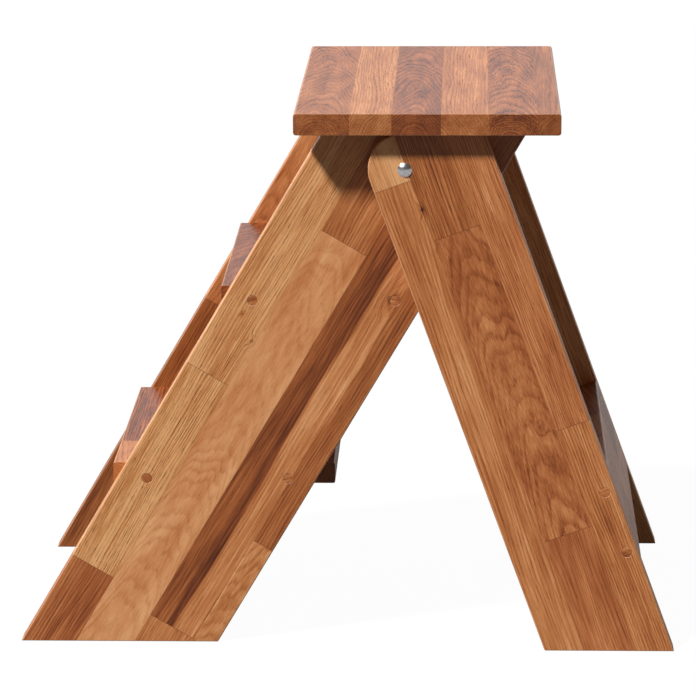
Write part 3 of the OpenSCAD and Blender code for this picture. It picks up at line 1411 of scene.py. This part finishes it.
    def top_plate(self) -> None:
        """Builds the top plate."""
        piece = self.level_board("top_plate", self.plate_edge, self.plate_edge * 0.8)
        for bit in self.dowel_bits():
            drill(piece, [bit, bit.other_side()])
        columns = (
            Column(61, (Run(300, 0.36, Cut.FLAT, 0.9), Run(FAR, 0.33, Cut.FLAT, 1.1, -0.4))),
            Column(46.6, (Run(FAR, 0.53, Cut.RIFT, 1.1, 0.3),)),
            Column(54, (Run(FAR, 0.26, Cut.FLAT, 0.9, -0.5),)),
            Column(53, (Run(FAR, 0.48, Cut.RIFT, 1.0),)),
            Column(54, (Run(FAR, 0.30, Cut.FLAT, 1.2, -0.3),)),
            Column(24.4, (Run(FAR, 0.31, Cut.RIFT, 0.8),)),
        )
        Board("top_plate", self.level_axes("top_plate"), columns, 53).dress(piece)
        fit(piece, TREAD_FRAME, "top_plate")


@dataclass
class RearFrame(LeaningBoards):
    """The rear legs and the crosspiece, which swing as one body."""

    lean: float = -19.9
    width: float = 138.0
    pivot_r: float = 3.2
    nose_r: float = 40.5
    nose_cuts: int = 30
    crosspiece_w: float = 114.5
    neck_w: float = 6.3
    neck_l: float = 4.5

    def build(self) -> None:
        """Builds every piece of the body but the pivot hardware."""
        columns = random_columns(self.width, 640, 13, 0.64)
        far = Board("left_rear_leg", self.axes(Side.LEFT), columns, 31)
        self.hang_pair(self.leg(), self.near_board(), far, REAR_FRAME, "leg_wood")
        self.crosspiece()
        for side in Side:
            node = side.word + "_crosspiece_plugs"
            self.fasteners.plug(node, side, side.outer_y("rear_leg"), REAR_FRAME, 80 + side.value)

    def axes(self, side: Side) -> Axes:
        """Finds a leg's directions.

        Args:
            side: The leg's side.

        Returns:
            The directions, from its front corner on the floor and its outer face.
        """
        front = self.pivot - self.across * self.nose_r * MM
        foot = front - self.along * (front.z / self.along.z)
        return Axes(Vector((foot.x, side.outer_y("rear_leg"), 0)), self.across, side.outward, self.along)

    def leg(self) -> Piece:
        """Saws, rounds, eases and drills the right leg.

        Returns:
            The leg, not yet ripped into staves.
        """
        low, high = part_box("right_rear_leg")
        axes = self.axes(Side.RIGHT)
        length = (high.z - low.z) / MM / self.along.z + 2 * self.width
        centre = axes.point(self.width / 2, self.thickness / 2, length / 2 - self.width)
        piece = block("right_rear_leg_oak", centre, (self.width, self.thickness, length), axes.turn())
        saw(piece, low, -UP)
        saw(piece, high, UP)
        for step in range(1, self.nose_cuts):
            angle = math.radians(90 - self.lean) * step / self.nose_cuts
            waste = Vector((-math.sin(angle), 0, math.cos(angle)))
            saw(piece, self.pivot + waste * self.nose_r * MM, waste)
        self.ease_arrises(piece)
        self.drill_board(piece, low.y, ("right_crosspiece_plugs",))
        outer = Vector((self.pivot.x, low.y, self.pivot.z))
        socket = block("socket", outer, (self.neck_w, 2 * self.neck_l, self.neck_w), Matrix.Identity(3))
        combine(piece, socket, How.CUT)
        return piece

    def near_board(self) -> Board:
        """Lays out the right leg's wood.

        Returns:
            Its staves and knots.
        """
        columns = (
            Column(42.6, (Run(562, 0.61, Cut.RIFT, 1.0, -0.1), Run(FAR, 0.84, Cut.QUARTER, 0.9, 0.2))),
            Column(
                55.4,
                (
                    Run(121.4, 0.48, Cut.RIFT, 0.9, -0.6),
                    Run(489.4, 0.49, Cut.FLAT, 1.0, -0.4),
                    Run(FAR, 0.42, Cut.QUARTER, 1.3),
                ),
            ),
            Column(40, (Run(239, 0.56, Cut.QUARTER, 1.2), Run(FAR, 0.58, Cut.QUARTER, 1.2, -0.6))),
        )
        knots = (Knot(43.5, 527, 2.2, 4.0, 1.0), Knot(84, 250, 2.4, 5.0, 0.4))
        return Board("right_rear_leg", self.axes(Side.RIGHT), columns, 30, knots)

    def crosspiece(self) -> None:
        """Builds the board between the legs."""
        low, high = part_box("rear_crosspiece")
        middle = (low + high) / 2
        length = (high.y - low.y) / MM
        sideways = Vector((0, 1, 0))
        corner = self.across * self.thickness + self.along * self.crosspiece_w - sideways * length
        axes = Axes(middle + corner / 2 * MM, -self.along, self.across, sideways)
        piece = block("rear_crosspiece_oak", middle, (self.crosspiece_w, self.thickness, length), axes.turn())
        self.ease_cross_board(piece, self.long_edge, self.end_edge)
        self.drill_ends(piece, "rear_leg", "crosspiece_plugs")
        columns = random_columns(self.crosspiece_w, length, 37, 0.50)
        Board("rear_crosspiece", axes, columns, 57).dress(piece)
        fit(piece, REAR_FRAME, "rear_crosspiece")


@dataclass(frozen=True)
class SteelFinish:
    """Plated steel: bright, with faint turning marks and rubbed patches."""

    bright: Tint = Tint(232, 233, 236)
    rubbed: Tint = Tint(206, 208, 212)
    roughness: float = 0.20

    def material(self, name: str) -> bpy.types.Material:
        """Builds the material.

        Args:
            name: The material's name.

        Returns:
            The material.
        """
        g = Graph(name)
        spot = g.spot()
        cloud = g.noise(spot, (3.0, 3.0, 3.0), 3.0)
        hair = g.noise(spot, (0.25, 4.0, 0.25))
        rough = g.total(self.roughness, g.times(cloud, 0.12), g.times(hair, 0.05))
        colour = g.blend(g.rise(cloud, 0.4, 0.7), self.bright, self.rubbed)
        normal = g.relief(hair, 0.02, 0.3)
        return g.surface({"Base Color": colour, "Metallic": 1.0, "Roughness": rough, "Normal": normal})


@dataclass(frozen=True)
class NylonFinish:
    """Moulded nylon: milky, soft in gloss and slightly uneven."""

    light: Tint = Tint(232, 230, 222)
    shade: Tint = Tint(214, 210, 198)
    roughness: float = 0.42

    def material(self, name: str) -> bpy.types.Material:
        """Builds the material.

        Args:
            name: The material's name.

        Returns:
            The material.
        """
        g = Graph(name)
        cloud = g.noise(g.spot(), (2.0, 2.0, 2.0), 2.0)
        colour = g.blend(g.rise(cloud, 0.35, 0.7), self.light, self.shade)
        rough = g.total(self.roughness, g.times(cloud, 0.1))
        return g.surface({"Base Color": colour, "Roughness": rough, "Normal": g.relief(cloud, 0.03, 0.4)})


@dataclass(frozen=True)
class BeechFinish:
    """Pale beech for the dowels: fine fibres along the dowel, with short dark flecks."""

    light: Tint = Tint(222, 186, 140)
    dark: Tint = Tint(184, 138, 92)
    roughness: float = 0.5

    def material(self, name: str) -> bpy.types.Material:
        """Builds the material.

        Args:
            name: The material's name.

        Returns:
            The material.
        """
        g = Graph(name)
        spot = g.spot()
        fibre = g.noise(spot, (0.6, 0.6, 12.0), 2.0)
        fleck = g.rise(g.noise(spot, (0.3, 0.3, 2.0), 0.0), 0.62, 0.74)
        colour = g.blend(g.rise(fibre, 0.35, 0.65), self.light, self.dark)
        colour = g.blend(g.times(fleck, 0.5), colour, self.dark)
        return g.surface({"Base Color": colour, "Roughness": g.total(self.roughness, g.times(fibre, 0.1))})


@dataclass
class PivotHardware:
    """The bolts, washers and lock nuts of the pivot."""

    pivot: Vector
    shank_r: float = 3.0
    neck_w: float = 6.3
    neck_l: float = 4.5
    hole_slack: float = 0.2
    thread_pitch: float = 1.0
    thread_depth: float = 0.35
    thread_l: float = 14.0
    collar_l: float = 1.5
    rim: float = 0.2
    steel: SteelFinish = field(default_factory=SteelFinish)
    nylon: NylonFinish = field(default_factory=NylonFinish)

    def build(self) -> None:
        """Builds the right side's hardware, copies it to the left and dresses both."""
        chrome = self.steel.material("bright_steel")
        plastic = self.nylon.material("spacer_nylon")
        for part, piece, slot, finishes in (
            ("pivot_bolt", self.bolt(), "bolt_steel", (chrome,)),
            ("spacer_washer", self.washer("spacer_washer"), "spacer_plastic", (plastic,)),
            ("nut_washer", self.washer("nut_washer"), "bolt_steel", (chrome,)),
            ("lock_nut", self.lock_nut(), "bolt_steel", (chrome, plastic)),
        ):
            for material in finishes:
                piece.data.materials.append(material)
            if len(finishes) > 1:
                self.colour_insert(piece)
            other = mirrored(piece, f"left_{part}_turned")
            for made, side in ((piece, Side.RIGHT), (other, Side.LEFT)):
                finish_mesh(made)
                fit(made, REAR_FRAME, f"{side.word}_{part}")

    def span(self, part: str) -> tuple[Vector, Vector, float]:
        """Measures a right-hand part along the pivot's axis.

        Args:
            part: The part's name without its side.

        Returns:
            Where it starts, where it ends and the half height of its box.
        """
        low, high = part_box("right_" + part)
        outer, inner = (Vector((self.pivot.x, y, self.pivot.z)) for y in (low.y, high.y))
        return outer, inner, (high.z - low.z) / 2 / MM

    def bolt(self) -> Piece:
        """Turns the right bolt: a domed head, a square neck, a shank and a threaded tail.

        Returns:
            The shaped bolt.
        """
        outer, inner, head_r = self.span("pivot_bolt")
        face_y = Side.RIGHT.outer_y("rear_leg")
        head_h = (face_y - outer.y) / MM
        length = (inner.y - face_y) / MM
        dome_r = (head_r**2 + head_h**2) / (2 * head_h)
        chamfer = 0.6
        profile = [(self.shank_r - 0.7, 0.0), (self.shank_r - 0.1, chamfer)]
        for turn in range(round(self.thread_l / self.thread_pitch)):
            foot = chamfer + turn * self.thread_pitch
            profile.append((self.shank_r - self.thread_depth, foot + 0.45 * self.thread_pitch))
            profile.append((self.shank_r - 0.02, foot + 0.9 * self.thread_pitch))
        profile += [(self.shank_r, self.thread_l + 1), (self.shank_r, length)]
        profile += [(head_r - 0.25, length + 0.01), (head_r, length + 0.25)]
        rings = 12
        for step in range(1, rings + 1):
            angle = math.asin(head_r / dome_r) * (1 - step / (rings + 1))
            height = dome_r * math.cos(angle) - (dome_r - head_h)
            profile.append((dome_r * math.sin(angle), length + height))
        profile.append((0.2, length + head_h))
        piece = turned("right_pivot_bolt_turned", profile, inner, Side.RIGHT.outward)
        neck_middle = Vector((self.pivot.x, face_y + (self.neck_l / 2 - 0.05) * MM, self.pivot.z))
        neck = block("neck", neck_middle, (self.neck_w, self.neck_l + 0.1, self.neck_w), Matrix.Identity(3))
        select_edges(neck, lambda first, second: abs(first.y - second.y) > MM)
        ease(0.3)
        combine(piece, neck, How.JOIN)
        return piece

    def washer(self, part: str) -> Piece:
        """A right-hand washer with eased rims.

        Args:
            part: The washer's name without its side.

        Returns:
            The shaped washer.
        """
        outer, inner, radius = self.span(part)
        height = (inner.y - outer.y) / MM
        rim = self.rim
        profile = [(radius - rim, 0.0), (radius, rim), (radius, height - rim), (radius - rim, height)]
        piece = turned(f"right_{part}_turned", profile, inner, Side.RIGHT.outward)
        self.bore(piece, outer, inner, self.shank_r + self.hole_slack)
        return piece

    def bore(self, piece: Piece, outer: Vector, inner: Vector, radius: float) -> None:
        """Drills a right-hand piece right through and breaks both rims.

        Args:
            piece: The piece.
            outer: The middle of its outer end.
            inner: The middle of its inner end.
            radius: The hole's radius.
        """
        margin = Side.RIGHT.outward * MM
        drill(piece, [Bit(outer + margin, inner - margin, radius)])
        for at in (outer, inner):
            break_rim(piece, at, Side.RIGHT.outward, radius, self.rim)

    def lock_nut(self) -> Piece:
        """Shapes the right nut: a hexagon with turned corners, and a collar for a nylon insert.

        Returns:
            The shaped nut.
        """
        outer, inner, flats_r = self.span("lock_nut")
        corner_r = flats_r / math.cos(math.radians(30))
        hex_h = (inner.y - outer.y) / MM - self.collar_l
        hex_end = inner - Vector((0, self.collar_l, 0)) * MM
        piece = rod("right_lock_nut_turned", outer, hex_end, corner_r, 6)
        fall = (corner_r - flats_r) * math.tan(math.radians(30))
        wide = corner_r + 0.1
        cone = [(flats_r - 0.1, -0.01), (wide, fall), (wide, hex_h - fall), (flats_r - 0.1, hex_h + 0.01)]
        combine(piece, turned("corners", cone, hex_end, Side.RIGHT.outward), How.KEEP)
        collar_r = flats_r - 0.25
        collar = [(collar_r - 0.6, 0.0), (collar_r - 0.15, 0.2)]
        collar += [(collar_r, 0.6), (collar_r, self.collar_l + 0.5)]
        combine(piece, turned("collar", collar, inner, Side.RIGHT.outward), How.JOIN)
        self.bore(piece, outer, inner, self.shank_r)
        return piece

    def colour_insert(self, piece: Piece) -> None:
        """Gives the ring around the thread, at the nut's inner end, its second finish.

        Args:
            piece: The shaped nut.
        """
        _, inner, _ = self.span("lock_nut")
        for face in piece.data.polygons:
            offset = (face.center - inner) / MM
            if abs(offset.y) < self.collar_l and math.hypot(offset.x, offset.z) < self.shank_r + 0.6:
                face.material_index = 1


@dataclass
class HiddenFasteners:
    """The screws and dowels inside the boards, whose own shapes stay."""

    screws: SteelFinish = SteelFinish(Tint(206, 196, 168), Tint(178, 168, 140), 0.28)
    dowels: BeechFinish = BeechFinish()

    def dress(self, nodes: dict[str, Piece]) -> None:
        """Gives each hidden fastener its finish.

        Args:
            nodes: The frame's nodes by name.
        """
        finishes = {"screws": self.screws.material("zinc_steel"), "dowels": self.dowels.material("beech")}
        for name, node in nodes.items():
            material = finishes.get(name.rsplit("_", 1)[-1])
            if material:
                node.material_slots[0].material = material
                LOG.info("%s: dressed in %s", name, material.name)


@dataclass
class Studio:
    """The floor, the lights and the camera. Lengths are in metres and angles in degrees."""

    eye: Triple = (0.1385, -4.0449, 1.3000)
    yaw: float = -2.0
    tilt: float = 13.893
    roll: float = -0.327
    lens_mm: float = 183.27
    sensor_mm: float = 36.0
    floor_size: float = 60.0
    floor_grey: float = 0.11
    floor_seen: float = 0.03
    floor_glow: float = 0.97
    floor_shine: float = 0.32
    key_path: Triple = (1.25, 1.07, -2.0)
    key_strength: float = 5.35
    key_spread: float = 7.0
    key_colour: Triple = (1.0, 0.985, 0.96)
    sky_strength: float = 0.10
    sky_colour: Triple = (1.0, 0.80, 0.62)
    wall_strength: float = 1.2
    wall_colour: Triple = (0.93, 0.97, 1.0)

    def build(self) -> None:
        """Sets the scene up."""
        self.camera()
        self.key_light()
        self.sky()
        self.floor()
        bpy.context.scene.view_settings.view_transform = "Standard"

    def camera(self) -> None:
        """Adds the camera."""
        settle()
        bpy.ops.object.camera_add()
        camera = bpy.context.object
        turn = Matrix.Rotation(math.radians(-self.yaw), 4, "Z")
        turn @= Matrix.Rotation(math.radians(90 - self.tilt), 4, "X")
        turn @= Matrix.Rotation(math.radians(self.roll), 4, "Z")
        camera.matrix_world = Matrix.Translation(self.eye) @ turn
        camera.data.sensor_width = self.sensor_mm
        camera.data.lens = self.lens_mm
        camera.data.clip_end = 200.0
        bpy.context.scene.camera = camera

    def key_light(self) -> None:
        """Adds the main light, high on the left of the camera."""
        settle()
        bpy.ops.object.light_add(type="SUN")
        light = bpy.context.object
        light.rotation_euler = (-Vector(self.key_path)).to_track_quat("Z", "Y").to_euler()
        light.data.energy = self.key_strength
        light.data.angle = math.radians(self.key_spread)
        light.data.color = self.key_colour

    def sky(self) -> None:
        """Makes a dim room with a white wall low down behind the stool, which gives the tops their sheen."""
        world = bpy.data.worlds.new("room")
        bpy.context.scene.world = world
        g = Graph("room", world)
        _, back, up = g.split(g.add("TexCoord").outputs["Generated"])
        wall = g.times(g.rise(back, -0.1, 0.5), g.rise(up, 0.3, 0.6, 1.0, 0.0), self.wall_strength)
        white = g.add("Background", {0: (*self.wall_colour, 1.0), 1: wall})
        warm = g.add("Background", {0: (*self.sky_colour, 1.0), 1: self.sky_strength})
        both = g.add("AddShader", {0: white.outputs[0], 1: warm.outputs[0]})
        g.add("OutputWorld", {"Surface": both.outputs[0]})

    def floor(self) -> None:
        """Adds the floor: white to the eye with a faint shadow, and dim enough to keep the wood's shadows."""
        settle()
        bpy.ops.mesh.primitive_plane_add(size=self.floor_size, location=(0, 0, -0.0002))
        floor = named("floor")
        g = Graph("pale_floor")
        path = g.add("LightPath").outputs
        seen, shine = path["Is Camera Ray"], path["Is Glossy Ray"]
        grey = g.total(g.times(seen, self.floor_seen - self.floor_grey), self.floor_grey)
        paint = g.add("BsdfDiffuse", {"Color": g.add("CombineColor", {0: grey, 1: grey, 2: grey}).outputs[0]})
        bright = g.total(g.times(seen, self.floor_glow), g.times(shine, self.floor_shine))
        glow = g.add("Emission", {"Strength": bright})
        both = g.add("AddShader", {0: paint.outputs[0], 1: glow.outputs[0]})
        g.add("OutputMaterial", {"Surface": both.outputs[0]})
        floor.data.materials.append(g.material)


def main() -> None:
    """Builds the stool's looks around the frame."""
    logging.basicConfig(level=logging.INFO, format="%(name)s: %(message)s")
    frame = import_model()
    pivot = Vector(frame["joints"][0]["pos_m"])
    fasteners = Fasteners()
    TreadFrame(fasteners, pivot).build()
    RearFrame(fasteners, pivot).build()
    fasteners.clear()
    PivotHardware(pivot).build()
    HiddenFasteners().dress(frame["nodes"])
    Studio().build()


if __name__ == "__main__":
    main()
